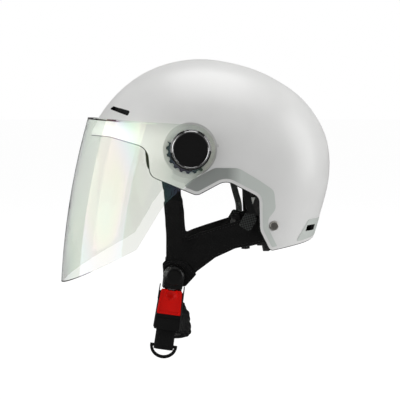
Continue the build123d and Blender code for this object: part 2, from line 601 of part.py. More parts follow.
# ---------------------------------------------------------------- nape adjuster
def band_arc(a0, a1, z0, z1, r0=BAND_R - BAND_T / 2, r1=BAND_R + BAND_T / 2):
    """Upright band on the nape arc, between two angles from +X."""
    n = 4
    ang = [math.radians(a0 + (a1 - a0) * k / n) for k in range(n + 1)]
    fan = [(BAND_CX, 0)] + [(BAND_CX + 160 * math.cos(a), 160 * math.sin(a)) for a in ang]
    wedge = extrude(Pos(0, 0, z0) * make_face(Polyline(*fan, close=True)), amount=z1 - z0)
    ring = Cylinder(r1, z1 - z0) - Cylinder(r0, z1 - z0 + 1)
    return (Pos(BAND_CX, 0, (z0 + z1) / 2) * ring) & wedge


def nape_band():
    """Left band: broad flat arm, then a narrow toothed rack that passes over the pinion."""
    z = DIAL_Z
    band = band_arc(-37.0, -14.0, z - 8, z + 8) + band_arc(-14.2, 4.5, z + 4.2, z + 8)
    for k in range(14):
        a = -8.6 + 0.92 * k
        band -= band_arc(a, a + 0.46, z + 4.0, z + 5.3, BAND_R - 3, BAND_R + 3)
    return band


def right_band():
    """Right band: the left one turned over, so that its rack passes under the pinion."""
    return Pos(0, 0, DIAL_Z) * Rot(180, 0, 0) * Pos(0, 0, -DIAL_Z) * nape_band()


def nape_housing():
    z = DIAL_Z
    case = block(60.6, 67.6, -21, 21, z - 12, z + 12)
    case = fillet(case.edges().filter_by(Axis.X), 5)
    case -= band_arc(-20, 20, z - 8.4, z + 8.4, BAND_R - 1.25, BAND_R + 1.25)
    return case - Pos(66, 0, z) * Rot(0, 90, 0) * Cylinder(2.6, 6)


def nape_dial():
    dial = Pos(71.75, 0, DIAL_Z) * Rot(0, 90, 0) * Cylinder(DIAL_R, 7.1)
    rim = dial.edges().filter_by(GeomType.CIRCLE).sort_by(Axis.X)[-1]
    dial = fillet(rim, 1.6)
    for k in range(16):
        a = 2 * math.pi * k / 16
        dial -= Pos(71.75, (DIAL_R + 1.0) * math.cos(a), DIAL_Z + (DIAL_R + 1.0) * math.sin(a)) \
            * Rot(0, 90, 0) * Cylinder(2.0, 9)
    dial += Pos(67.2, 0, DIAL_Z) * Rot(0, 90, 0) * Cylinder(2.52, 3.4)
    return dial


def nape_pinion():
    gear = Pos(64.75, 0, DIAL_Z) * Rot(0, 90, 0) * Cylinder(3.7, 1.5)
    for k in range(10):
        a = 2 * math.pi * k / 10
        gear -= Pos(64.75, 3.9 * math.cos(a), DIAL_Z + 3.9 * math.sin(a)) * Rot(0, 90, 0) * Cylinder(0.6, 4)
    return gear


def nape_hanger(loose=False):
    """Hanger from the foam down to the woven tab that pinches the rear strap arm."""
    if loose:
        path = [(40.4, -94.6, 27), (42.2, -93.6, 16), (45.4, -92.4, 3), (48.6, -91.4, -9), (49.4, -91.2, -20)]
        arm = strip(path, 7.0, 1.8, across=(0.62, 0.3, 0.16))
    else:
        path = [(39.8, -93.6, 27), (41.9, -92.6, 16), (44.5, -91.4, 4), (47.6, -90.5, -7), (48.6, -90.4, -12)]
        arm = strip(path, 7.0, 1.8, across=(0.96, 0, 0.28))
    tab = Pos(TAB_X, -90.4, tab_z(loose)) * Rot(0, 30, 0) * Box(13.4, 1.8, 16.4)
    tab = fillet(tab.edges().filter_by(Axis.Y), 3.2)
    pin = rod(TAB_X, tab_z(loose), 2.1, -79.2, -90.4)
    return arm + tab + pin


def nape_guide(loose=False):
    """Slotted block on the hanger's pin; the band slides through it."""
    a = math.radians(-33.6)
    x, y = BAND_CX + BAND_R * math.cos(a), BAND_R * math.sin(a)
    case = Pos(x, y, DIAL_Z) * Rot(0, 0, math.degrees(a)) * Box(5.4, 8.0, 20)
    case += block(TAB_X - 4.6, TAB_X + 4.6, -77.6, -80.5, DIAL_Z + 6, tab_z(loose) + 4.4) \
        + block(TAB_X - 4.6, TAB_X + 3, -70.6, -77.8, DIAL_Z + 8.6, DIAL_Z + 10)
    case -= band_arc(-40, -28, DIAL_Z - 8.35, DIAL_Z + 8.35, BAND_R - 1.15, BAND_R + 1.15)
    return case - rod(TAB_X, tab_z(loose), 2.15, -77.7, -100)


# ---------------------------------------------------------------- all nodes
def build_parts():
    left = {
        "hinge_plate": hinge_plate(), "pivot_screw": pivot_screw(), "pivot_nut": pivot_nut(),
        "hinge_cap": hinge_cap(), "side_reflector": side_reflector(), "front_anchor": front_anchor(),
        "rear_screw": rear_screw(), "rear_nut": rear_nut(),
    }
    parts = {
        "outer_shell": outer_shell(), "edge_trim": edge_trim(), "liner_foam": liner_foam(),
        "rear_reflector": rear_reflector(), "visor_lens": visor(), "front_webbing_left": front_webbing(),
        "tongue_head": tongue_head(), "tongue_blade": tongue(), "strap_washer": rivet_washer(),
        "buckle_frame": buckle_frame(), "buckle_body": buckle_body(), "release_button": release_button(),
        "button_spring": button_spring(), "pull_webbing": pull_webbing(), "pull_ring": d_ring(),
        "chin_strap": chin_strap(), "chin_strap_end": chin_strap_end(), "chin_pad": chin_pad(),
        "nape_housing": nape_housing(), "nape_dial": nape_dial(), "nape_pinion": nape_pinion(),
        "nape_band_left": nape_band(), "nape_band_right": right_band(),
    }
    parts.update(pads())
    for name, shape in left.items():
        parts[name + "_left"] = shape
        parts[name + "_right"] = other_side(shape)
    for make in (strap_sleeve, rear_webbing, sleeve_collar, nape_hanger, nape_guide):
        parts[make.__name__ + "_left"] = make()
        parts[make.__name__ + "_right"] = other_side(make(loose=True))
    return parts


os.makedirs("parts", exist_ok=True)
for node, shape in build_parts().items():
    export_step(shape, "parts/" + node + ".step")
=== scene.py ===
import bpy, bmesh, math
from mathutils import Vector, Matrix
from mathutils.bvhtree import BVHTree


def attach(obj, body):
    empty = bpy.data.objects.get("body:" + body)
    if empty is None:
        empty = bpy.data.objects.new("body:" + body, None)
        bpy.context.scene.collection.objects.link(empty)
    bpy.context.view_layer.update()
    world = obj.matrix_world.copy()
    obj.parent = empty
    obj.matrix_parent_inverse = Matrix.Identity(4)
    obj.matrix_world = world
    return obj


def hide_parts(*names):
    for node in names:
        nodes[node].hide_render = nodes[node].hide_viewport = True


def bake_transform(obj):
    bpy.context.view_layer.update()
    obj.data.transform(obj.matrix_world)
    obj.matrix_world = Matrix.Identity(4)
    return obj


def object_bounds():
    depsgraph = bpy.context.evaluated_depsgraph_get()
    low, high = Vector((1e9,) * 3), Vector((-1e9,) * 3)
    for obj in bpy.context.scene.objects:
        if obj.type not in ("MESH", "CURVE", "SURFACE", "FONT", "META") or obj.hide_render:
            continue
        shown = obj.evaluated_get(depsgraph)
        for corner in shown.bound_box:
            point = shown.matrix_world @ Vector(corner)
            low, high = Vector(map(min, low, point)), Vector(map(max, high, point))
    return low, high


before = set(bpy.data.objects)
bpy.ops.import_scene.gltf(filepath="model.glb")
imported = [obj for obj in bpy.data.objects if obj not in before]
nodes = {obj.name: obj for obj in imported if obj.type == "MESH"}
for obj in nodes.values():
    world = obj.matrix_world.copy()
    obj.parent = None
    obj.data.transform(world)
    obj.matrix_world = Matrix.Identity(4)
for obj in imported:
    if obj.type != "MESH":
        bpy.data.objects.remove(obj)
cad_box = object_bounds()
scene = bpy.context.scene
MM = 0.001
WEAVE_PITCH = 1.2            # webbing yarns, mm

# light powers in watts, and the strength of the room
W_WORLD, P_TOP, P_LEFT, P_REAR, P_PANEL, P_FAR = 0.21, 24.0, 10.5, 13.5, 21.0, 1.0
PIVOT = (-0.0152, 0.0, 0.0569)                         # visor hinge, metres
FRONT_SLOT = [(-96.4, 97.6), (-92.2, 100.6), (-75.2, 95.6), (-77.6, 90.6)]   # x, z in mm


# ---------------------------------------------------------------- materials
def new_material(name, base, rough, metallic=0.0, **sockets):
    m = bpy.data.materials.new(name)
    m.use_nodes = True
    b = m.node_tree.nodes["Principled BSDF"]
    b.inputs["Base Color"].default_value = (*base, 1.0)
    b.inputs["Roughness"].default_value = rough
    b.inputs["Metallic"].default_value = metallic
    for key, value in sockets.items():
        b.inputs[key.replace("_", " ")].default_value = value
    return m


def node(m, kind, **values):
    n = m.node_tree.nodes.new(kind)
    for key, value in values.items():
        if key in n.inputs:
            n.inputs[key].default_value = value
        else:
            setattr(n, key, value)
    return n


def link(m, a, out, b, into):
    m.node_tree.links.new(a.outputs[out], b.inputs[into])


def coords(m, scale=(1, 1, 1), rot=(0, 0, 0), kind="Object"):
    tc = node(m, "ShaderNodeTexCoord")
    mp = node(m, "ShaderNodeMapping")
    mp.inputs["Scale"].default_value = scale
    mp.inputs["Rotation"].default_value = rot
    link(m, tc, kind, mp, "Vector")
    return mp


def bump(m, source, out, strength, distance=0.0002, previous=None):
    b = node(m, "ShaderNodeBump", Strength=strength, Distance=distance)
    link(m, source, out, b, "Height")
    if previous:
        link(m, previous, "Normal", b, "Normal")
    link(m, b, "Normal", m.node_tree.nodes["Principled BSDF"], "Normal")
    return b


def tint(m, source, out, dark, light, low=0.3, high=0.7, into="Base Color"):
    ramp = node(m, "ShaderNodeValToRGB")
    ramp.color_ramp.elements[0].position, ramp.color_ramp.elements[1].position = low, high
    ramp.color_ramp.elements[0].color = (*dark, 1)
    ramp.color_ramp.elements[1].color = (*light, 1)
    link(m, source, out, ramp, "Fac")
    link(m, ramp, "Color", m.node_tree.nodes["Principled BSDF"], into)
    return ramp


def grey(v):
    return (v, v, v)


def moulded(name, base, rough, grain=2600, strength=0.12, vary=0.06, **sockets):
    """Moulded plastic or paint: fine grain, slight colour and roughness drift."""
    m = new_material(name, base, rough, **sockets)
    fine = node(m, "ShaderNodeTexNoise", Scale=grain, Detail=3.0)
    link(m, coords(m), "Vector", fine, "Vector")
    bump(m, fine, "Fac", strength, 0.00008)
    soft = node(m, "ShaderNodeTexNoise", Scale=38.0, Detail=4.0)
    link(m, coords(m), "Vector", soft, "Vector")
    tint(m, soft, "Fac", tuple(c * (1 - vary) for c in base), tuple(min(1, c * (1 + vary)) for c in base))
    tint(m, soft, "Fac", grey(max(0, rough - 0.05)), grey(min(1, rough + 0.06)), into="Roughness")
    return m


def fabric(name, base, pitch=1.1, strength=0.5, kind="Object", rough=0.85, sheen=0.35):
    """Woven or knitted cloth: crossed yarns at the given pitch in millimetres."""
    m = new_material(name, base, rough, Sheen_Weight=sheen, Sheen_Roughness=0.45, Specular_IOR_Level=0.14)
    k = 1000.0 / pitch
    heights = []
    for turn in (0.0, math.pi / 2):
        w = node(m, "ShaderNodeTexWave", Scale=k / 6.283 if kind == "Object" else 1.0, Distortion=0.6, Detail=1.0)
        w.bands_direction = "DIAGONAL" if kind == "Object" else "X"
        link(m, coords(m, rot=(0, turn, 0), kind=kind), "Vector", w, "Vector")
        heights.append(w)
    mix = node(m, "ShaderNodeMath", operation="MULTIPLY")
    m.node_tree.links.new(heights[0].outputs["Fac"], mix.inputs[0])
    m.node_tree.links.new(heights[1].outputs["Fac"], mix.inputs[1])
    b = bump(m, mix, "Value", strength, 0.00025)
    fuzz = node(m, "ShaderNodeTexNoise", Scale=900.0, Detail=6.0)
    link(m, coords(m), "Vector", fuzz, "Vector")
    tint(m, fuzz, "Fac", tuple(c * 0.6 for c in base), tuple(c * 1.5 for c in base))
    bump(m, fuzz, "Fac", 0.25, 0.00015, previous=b)
    return m


SHELL = moulded("shell_satin_white", (0.80, 0.80, 0.79), 0.36, grain=1500, strength=0.05, vary=0.012,
                Coat_Weight=0.25, Coat_Roughness=0.28)
place = node(SHELL, "ShaderNodeSeparateXYZ")
link(SHELL, coords(SHELL), "Vector", place, "Vector")


def math_node(m, operation, a, b=0.0):
    n = node(m, "ShaderNodeMath", operation=operation)
    for i, v in enumerate((a, b)):
        if isinstance(v, (int, float)):
            n.inputs[i].default_value = v
        else:
            m.node_tree.links.new(v, n.inputs[i])
    return n.outputs[0]


# painted shade: the shell on the hinge recess floor, within 29 mm of the pivot and at 102 mm from the middle plane,
# is coloured mid grey for the shade that falls in the recess
dx = math_node(SHELL, "SUBTRACT", place.outputs["X"], PIVOT[0])
dz = math_node(SHELL, "SUBTRACT", place.outputs["Z"], PIVOT[2])
reach = math_node(SHELL, "SQRT", math_node(SHELL, "ADD", math_node(SHELL, "MULTIPLY", dx, dx),
                                           math_node(SHELL, "MULTIPLY", dz, dz)))
inside = math_node(SHELL, "LESS_THAN", reach, 0.0290)
side_reach = math_node(SHELL, "ABSOLUTE", place.outputs["Y"])
sunk = math_node(SHELL, "COMPARE", side_reach, 0.1020)
sunk.node.inputs[2].default_value = 0.0003
shaded_recess = math_node(SHELL, "MULTIPLY", inside, sunk)
facing = node(SHELL, "ShaderNodeSeparateXYZ")
link(SHELL, node(SHELL, "ShaderNodeTexCoord"), "Normal", facing, "Vector")


def within(value, low, high):
    """1 where low < value < high."""
    return math_node(SHELL, "MULTIPLY", math_node(SHELL, "GREATER_THAN", value, low),
                     math_node(SHELL, "LESS_THAN", value, high))


def slot_walls(across, *spans):
    """1 on the walls of a slot that was cut along the given axis."""
    lean_in = math_node(SHELL, "ABSOLUTE", facing.outputs[across])
    flat = math_node(SHELL, "MAXIMUM", math_node(SHELL, "LESS_THAN", lean_in, 0.12),
                     math_node(SHELL, "GREATER_THAN", lean_in, 0.995))
    for value, low, high in spans:
        flat = math_node(SHELL, "MULTIPLY", flat, within(value, low, high))
    return flat


walls = math_node(SHELL, "MAXIMUM",
                  slot_walls("Y", (place.outputs["X"], -0.0968, -0.0748), (place.outputs["Z"], 0.0902, 0.1010)),
                  slot_walls("X", (side_reach, 0.0486, 0.0694), (place.outputs["Z"], -0.0288, -0.0218)))
principled = SHELL.node_tree.nodes["Principled BSDF"]
paint = principled.inputs["Base Color"].links[0].from_socket
# painted shade: mid grey (0.66) mixed into the shell colour on the recess floor
recess_shade_mix = node(SHELL, "ShaderNodeMix", data_type="RGBA")
SHELL.node_tree.links.new(shaded_recess, recess_shade_mix.inputs[0])
SHELL.node_tree.links.new(paint, recess_shade_mix.inputs[6])
recess_shade_mix.inputs[7].default_value = (0.66, 0.66, 0.65, 1)
slotted = node(SHELL, "ShaderNodeMix", data_type="RGBA")
SHELL.node_tree.links.new(walls, slotted.inputs[0])
SHELL.node_tree.links.new(recess_shade_mix.outputs[2], slotted.inputs[6])
slotted.inputs[7].default_value = (0.01, 0.01, 0.01, 1)
SHELL.node_tree.links.new(slotted.outputs[2], principled.inputs["Base Color"])

RUBBER = moulded("trim_rubber", grey(0.010), 0.6, grain=1800, strength=0.3, Specular_IOR_Level=0.3)
HINGE = moulded("hinge_plastic", grey(0.007), 0.34, Specular_IOR_Level=0.35)
GLOSS = new_material("cap_gloss", grey(0.003), 0.05, Coat_Weight=0.5, Coat_Roughness=0.02)
BUCKLE = moulded("buckle_plastic", grey(0.004), 0.42, grain=2200, strength=0.25, Specular_IOR_Level=0.3)
HEAD = moulded("tongue_head_plastic", grey(0.005), 0.34, grain=2200, strength=0.2, Specular_IOR_Level=0.35)
NAPE = moulded("nape_plastic", grey(0.014), 0.5, grain=1500, strength=0.3, Specular_IOR_Level=0.35)
RED = moulded("button_red", (0.66, 0.004, 0.0015), 0.36, grain=2400, strength=0.1, vary=0.1,
              Specular_IOR_Level=0.1)
STEEL = new_material("steel", grey(0.62), 0.27, 1.0)
brush = node(STEEL, "ShaderNodeTexNoise", Scale=900.0, Detail=4.0)
link(STEEL, coords(STEEL, scale=(1, 1, 0.06)), "Vector", brush, "Vector")
bump(STEEL, brush, "Fac", 0.25, 0.0001)
tint(STEEL, brush, "Fac", grey(0.2), grey(0.38), into="Roughness")


def dull_metal(name, base):
    m = new_material(name, base, 0.34, 1.0)
    turned = node(m, "ShaderNodeTexNoise", Scale=1200.0, Detail=4.0)
    link(m, coords(m), "Vector", turned, "Vector")
    bump(m, turned, "Fac", 0.3, 0.0001)
    tint(m, turned, "Fac", grey(0.28), grey(0.42), into="Roughness")
    return m


SCREW = dull_metal("screw_metal", (0.52, 0.50, 0.46))
DARK_STEEL = dull_metal("frame_steel", grey(0.13))

FOAM = new_material("liner_foam_black", grey(0.012), 0.75, Specular_IOR_Level=0.25)
beads = node(FOAM, "ShaderNodeTexVoronoi", Scale=330.0)
link(FOAM, coords(FOAM), "Vector", beads, "Vector")
bump(FOAM, beads, "Distance", 0.6, 0.0006)
tint(FOAM, beads, "Distance", grey(0.007), grey(0.017), 0.0, 0.8)

REFLECT = new_material("reflective_film", grey(0.4), 0.42, 0.1, Coat_Weight=0.2, Coat_Roughness=0.15)
# painted shading: the film is darker towards the front (x below 22 mm) and lighter towards the rear (x above 36
# mm), for how the light falls along the strip
where = node(REFLECT, "ShaderNodeSeparateXYZ")
link(REFLECT, coords(REFLECT), "Vector", where, "Vector")
glint = node(REFLECT, "ShaderNodeTexVoronoi", Scale=2400.0)
link(REFLECT, coords(REFLECT), "Vector", glint, "Vector")
ramp = node(REFLECT, "ShaderNodeMapRange")
for key, value in {"From Min": 0.022, "From Max": 0.036, "To Min": 0.0, "To Max": 1.0}.items():
    ramp.inputs[key].default_value = value
link(REFLECT, where, "X", ramp, "Value")
tint(REFLECT, ramp, "Result", (0.33, 0.35, 0.335), (0.64, 0.68, 0.645), 0.0, 1.0)
bump(REFLECT, glint, "Distance", 0.35, 0.00006)

VISOR = new_material("visor_clear", (0.845, 0.87, 0.825), 0.01, Transmission_Weight=1.0, IOR=1.49,
                     Thin_Film_IOR=1.41)
streaks = node(VISOR, "ShaderNodeTexNoise", Scale=9.0, Detail=1.0)
link(VISOR, coords(VISOR, scale=(1.6, 1.0, 0.55), rot=(0, math.radians(12), 0)), "Vector", streaks, "Vector")
film = node(VISOR, "ShaderNodeMapRange")
film.inputs["To Min"].default_value, film.inputs["To Max"].default_value = 180.0, 900.0
link(VISOR, streaks, "Fac", film, "Value")
link(VISOR, film, "Result", VISOR.node_tree.nodes["Principled BSDF"], "Thin Film Thickness")
WEB = fabric("webbing_weave", grey(0.005), kind="UV", strength=0.8, rough=0.8, sheen=0.06)
SLEEVE = fabric("sleeve_knit", grey(0.006), pitch=0.9, strength=0.45, rough=0.9, sheen=0.08)
PAD = fabric("pad_mesh", grey(0.005), pitch=1.6, strength=0.6, rough=0.92, sheen=0.03)
THREAD = new_material("thread", grey(0.022), 0.7)
WOVEN_TAB = new_material("tab_woven", grey(0.03), 0.5, Specular_IOR_Level=0.2)
check = node(WOVEN_TAB, "ShaderNodeTexChecker", Scale=620.0)
check.inputs["Color1"].default_value = (0.012, 0.012, 0.012, 1)
check.inputs["Color2"].default_value = (0.05, 0.056, 0.053, 1)
link(WOVEN_TAB, coords(WOVEN_TAB, rot=(0, math.radians(-30), 0)), "Vector", check, "Vector")
low = node(WOVEN_TAB, "ShaderNodeSeparateXYZ")
link(WOVEN_TAB, coords(WOVEN_TAB), "Vector", low, "Vector")
patch = math_node(WOVEN_TAB, "LESS_THAN", low.outputs["Z"], -0.0085)
plain = node(WOVEN_TAB, "ShaderNodeMix", data_type="RGBA")
plain.inputs[6].default_value = (0.010, 0.011, 0.0105, 1)
WOVEN_TAB.node_tree.links.new(patch, plain.inputs[0])
WOVEN_TAB.node_tree.links.new(check.outputs["Color"], plain.inputs[7])
WOVEN_TAB.node_tree.links.new(plain.outputs[2], WOVEN_TAB.node_tree.nodes["Principled BSDF"].inputs["Base Color"])
bump(WOVEN_TAB, check, "Fac", 0.5, 0.0002)

LOOKS = {"outer_shell": SHELL, "edge_trim": RUBBER, "liner_foam": FOAM, "rear_reflector": REFLECT,
         "side_reflector": REFLECT, "visor_lens": VISOR, "hinge_plate": HINGE, "hinge_cap": GLOSS,
         "pivot": STEEL, "front_anchor": STEEL, "rear_screw": SCREW, "rear_nut": STEEL, "strap_washer": STEEL,
         "tongue_blade": STEEL, "buckle_frame": DARK_STEEL, "button_spring": STEEL, "tongue_head": HEAD,
         "buckle_body": BUCKLE, "pull_ring": BUCKLE, "release_button": RED, "nape_hanger": WOVEN_TAB,
         "nape": NAPE}
for name, obj in nodes.items():
    look = next((v for k, v in LOOKS.items() if name.startswith(k)), None)
    if look and obj.data.materials:
        for i in range(len(obj.data.materials)):
            obj.data.materials[i] = look


nodes["visor_lens"].visible_shadow = False     # clear: light passes on to what is behind it


# ---------------------------------------------------------------- soft pieces
def piece(name, bm, look, body, slot, *replaced, smooth=True):
    me = bpy.data.meshes.new(name)
    bm.to_mesh(me)
    bm.free()
    for p in me.polygons:
        p.use_smooth = smooth
    me.materials.append(look)
    o = bpy.data.objects.new(name, me)
    scene.collection.objects.link(o)
    if body:
        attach(o, body)
    if replaced:
        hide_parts(*replaced)
    return o


def apply(o):
    """Bake an object's modifiers into its mesh."""
    dg = bpy.context.evaluated_depsgraph_get()
    me = bpy.data.meshes.new_from_object(o.evaluated_get(dg))
    o.modifiers.clear()
    o.data = me
    for p in me.polygons:
        p.use_smooth = True


def copy_of(source, name, look, body, slot, *replaced):
    bm = bmesh.new()
    bm.from_mesh(nodes[source].data)
    bmesh.ops.remove_doubles(bm, verts=bm.verts, dist=1e-6)
    return piece(name, bm, look, body, slot, *replaced)


def soften(o, voxel, rounds, factor=0.5):
    """Remesh and round off, as a sewn piece has no sharp edge."""
    r = o.modifiers.new("r", "REMESH")
    r.mode, r.voxel_size = "VOXEL", voxel
    s = o.modifiers.new("s", "SMOOTH")
    s.factor, s.iterations = factor, rounds
    apply(o)


def puff(o, cap, voxel=0.0045, frames=18, pressure=4.0):
    """Swell a pad with a short cloth run, no point further than cap from where it started."""
    soften(o, voxel, 4)
    rest = [v.co.copy() for v in o.data.vertices]
    c = o.modifiers.new("c", "CLOTH")
    c.settings.use_pressure = True
    c.settings.uniform_pressure_force = pressure
    c.settings.effector_weights.gravity = 0
    c.settings.tension_stiffness = c.settings.compression_stiffness = 40
    for f in range(1, frames + 1):
        scene.frame_set(f)
    apply(o)
    for v, r in zip(o.data.vertices, rest):
        d = v.co - r
        if d.length > cap:
            v.co = r + d.normalized() * cap
    o.modifiers.new("d", "SUBSURF").levels = 1
    o.modifiers["d"].render_levels = 1
    apply(o)


def spline_points(points, n=10):
    """Catmull-Rom points through the given ones."""
    p = [Vector(q) * MM for q in points]
    p = [p[0] * 2 - p[1]] + p + [p[-1] * 2 - p[-2]]
    out = []
    for i in range(1, len(p) - 2):
        for k in range(n):
            t = k / n
            out.append(((p[i] * 2) + (p[i + 1] - p[i - 1]) * t
                        + (p[i - 1] * 2 - p[i] * 5 + p[i + 1] * 4 - p[i + 2]) * t ** 2
                        + (p[i] * 3 - p[i - 1] - p[i + 1] * 3 + p[i + 2]) * t ** 3) * 0.5)
    out.append(p[-2])
    return out


def webbing(name, points, width, thick, body, slot, replaced, across=(1, 0, 0), n=10):
    """Flat woven tape along a curve, with rounded selvedges and woven UVs (u across, v along)."""
    mid = spline_points(points, n)
    ring = []
    for k in range(7):                     # half of the section: flat face, then the round selvedge
        ring.append((-0.5 + k / 6, 0.5))
    section = [(a, b * (0.55 if abs(a) > 0.49 else 1.0)) for a, b in ring]
    section += [(a, -b) for a, b in reversed(section)]
    bm = bmesh.new()
    uv = bm.loops.layers.uv.new("UVMap")
    rows, run, runs = [], 0.0, []
    for i, p in enumerate(mid):
        along = (mid[min(i + 1, len(mid) - 1)] - mid[max(i - 1, 0)]).normalized()
        wide = Vector(across)
        wide = (wide - along * wide.dot(along)).normalized()
        up = along.cross(wide)
        rows.append([bm.verts.new(p + wide * (a * width * MM) + up * (b * thick * MM)) for a, b in section])
        run += (p - mid[i - 1]).length if i else 0.0
        runs.append(run)
    us = [a * width for a, b in section]
    m = len(section)
    for i in range(len(rows) - 1):
        for k in range(m):
            k2 = (k + 1) % m
            f = bm.faces.new((rows[i][k], rows[i][k2], rows[i + 1][k2], rows[i + 1][k]))
            for loop, (u, v) in zip(f.loops, ((us[k], runs[i]), (us[k2], runs[i]), (us[k2], runs[i + 1]),
                                              (us[k], runs[i + 1]))):
                loop[uv].uv = (u / WEAVE_PITCH, v / MM / WEAVE_PITCH)
    bm.faces.new(rows[0])
    bm.faces.new(reversed(rows[-1]))
    bmesh.ops.recalc_face_normals(bm, faces=bm.faces)
    return piece(name, bm, WEB, body, slot, *replaced)


def eased(t):
    t = max(0.0, min(1.0, t))
    return t * t * (3 - 2 * t)


def limited(t):
    return max(0.0, min(1.0, t))


# strap routes and outlines in millimetres, as the CAD has them, built on the left side
FRONT = [(-94.5, 41), (-94.6, 34), (-93.7, 24), (-91.9, 12), (-89.3, 0), (-84.2, -20), (-79.3, -42),
         (-76.2, -60), (-74.8, -73), (-74.2, -90), (-73.9, -106)]
FRONT_XS = (-33.2, -33.2, -33.1, -32.8, -31.4, -29.9, -29.3, -29.6, -31.2)
BACK, DROP = 7.0, 9.0
COVER_FRONT = [(-42.0, 4.5), (-22.6, 4.5), (-22.4, 1.5), (-20.8, -4), (-19.2, -34), (-14, -34), (-10, -68),
               (-8.6, -73), (-19, -83.6), (-36, -84), (-41.6, -77), (-42.6, -60), (-38.9, -56.5), (-38.9, -33),
               (-40.6, -8)]
COVER_ARM = [(-19.0, -34.6), (-4, -28.2), (11.3, -23.2), (36.6, -15.6), (48, -10.6), (66, -10.9), (74.6, -14.5),
             (74.6, -26.5), (62, -38.0), (54.8, -39.9), (31.7, -44.8), (11.4, -54.4), (-9.2, -70.2), (-20, -70)]
HEM = [(-42.4, -61.5), (-38, -58.2), (-29, -57.5), (-19, -58.6), (-7.6, -71.4), (-19, -83.9), (-37, -84.5),
       (-41.6, -77)]
REAR_MID = [(-14, -50), (10, -39.1), (35, -31.1), (56, -23.5), (72.5, -21.0)]
SNUG_TAIL = [(-32.3, -74.4, -79.5)]
CHIN = [(-25.6, 74.2, -90), (-25.6, 73.0, -101), (-26.2, 62, -117), (-26.2, 38, -131), (-27.0, 8, -138),
        (-28.4, -20, -140), (-31.5, -44, -139), (-36.8, -63, -136.8), (-39.0, -74.5, -134.2),
        (-39.7, -80.9, -130.7), (-39.1, -82.3, -125.4), (-37.7, -82.3, -116.9)]


def slack_front(points):
    return [(x + BACK * limited((34 - z) / 45), z - DROP * limited((2 - z) / 50)) for x, z in points]


def slack_arm(points):
    return [(x, z - DROP * limited((72 - x) / 25)) for x, z in points]


def front_route(loose=False):
    xs = [x + (BACK * limited((34 - z) / 45) if loose else 0) for x, (y, z) in zip(FRONT_XS, FRONT)]
    return [(x, y, z) for x, (y, z) in zip(xs, FRONT)]


SHEET = [(p.z / MM, p.y / MM) for p in spline_points([(0, y, z) for y, z in FRONT], 12)]


def sheet_y(x, z):
    """Middle of the padded cover: the front arm's curved sheet, easing into the rear arm's flat one."""
    front = SHEET[-1][1]
    for (z0, y0), (z1, y1) in zip(SHEET, SHEET[1:]):
        if z1 <= z <= z0:
            front = y0 + (y1 - y0) * (z0 - z) / (z0 - z1)
            break
    else:
        front = SHEET[0][1] if z > SHEET[0][0] else front
    arm = -76.2 - 0.1167 * (x + 20)
    w = eased((x + 25) / 16) * eased((-20 - z) / 14)
    return front * (1 - w) + arm * w


def slab(outlines, y0, y1):
    """Closed flat solids, one per outline, as one mesh."""
    bm = bmesh.new()
    for outline in outlines:
        face = bm.faces.new([bm.verts.new((x * MM, y0 * MM, z * MM)) for x, z in outline])
        out = bmesh.ops.extrude_face_region(bm, geom=[face])
        bmesh.ops.translate(bm, vec=(0, (y1 - y0) * MM, 0),
                            verts=[v for v in out["geom"] if isinstance(v, bmesh.types.BMVert)])
    bmesh.ops.recalc_face_normals(bm, faces=bm.faces)
    return bm


def near_line(x, z, lines):
    """Distance in mm from (x, z) to the nearest of the given polylines."""
    best = 99.0
    for line in lines:
        for (ax, az), (bx, bz) in zip(line, line[1:]):
            ex, ez = bx - ax, bz - az
            t = limited(((x - ax) * ex + (z - az) * ez) / (ex * ex + ez * ez))
            best = min(best, math.hypot(x - ax - ex * t, z - az - ez * t))
    return best


def dashes(name, lines, surface, body, side, step=3.0, long=1.9, thick=0.42):
    """Stitching: short raised threads along lines that lie on the given surface."""
    bm = bmesh.new()
    for line in lines:
        for (ax, az), (bx, bz) in zip(line, line[1:]):
            run = math.hypot(bx - ax, bz - az)
            for k in range(int(run / step)):
                t = (k + 0.5) * step / run
                x, z = ax + (bx - ax) * t, az + (bz - az) * t
                d = Vector(((bx - ax) / run, 0, (bz - az) / run))
                m = Matrix.Translation(Vector((x, surface(x, z), z)) * MM) @ \
                    d.to_track_quat("X", "Z").to_matrix().to_4x4() @ \
                    Matrix.Diagonal((long * MM / 2, thick * MM / 2, thick * MM / 2, 1))
                bmesh.ops.create_icosphere(bm, subdivisions=1, radius=1.0, matrix=m)
    if side > 0:
        bmesh.ops.scale(bm, vec=(1, -1, 1), verts=bm.verts)
        bmesh.ops.reverse_faces(bm, faces=bm.faces)
    return piece(name, bm, THREAD, body, "sleeve_fabric")


def inset(outline, d):
    """The outline moved inward by d, corner by corner."""
    n, out = len(outline), []
    area = sum(outline[i][0] * outline[(i + 1) % n][1] - outline[(i + 1) % n][0] * outline[i][1] for i in range(n))
    s = 1 if area > 0 else -1
    for i in range(n):
        p, q, r = Vector(outline[i - 1]), Vector(outline[i]), Vector(outline[(i + 1) % n])
        a, b = (q - p).normalized(), (r - q).normalized()
        na, nb = Vector((-a.y, a.x)) * s, Vector((-b.y, b.x)) * s
        m = (na + nb).normalized()
        out.append(tuple(q + m * min(d / max(0.35, m.dot(na)), 2.2 * d)))
    return out


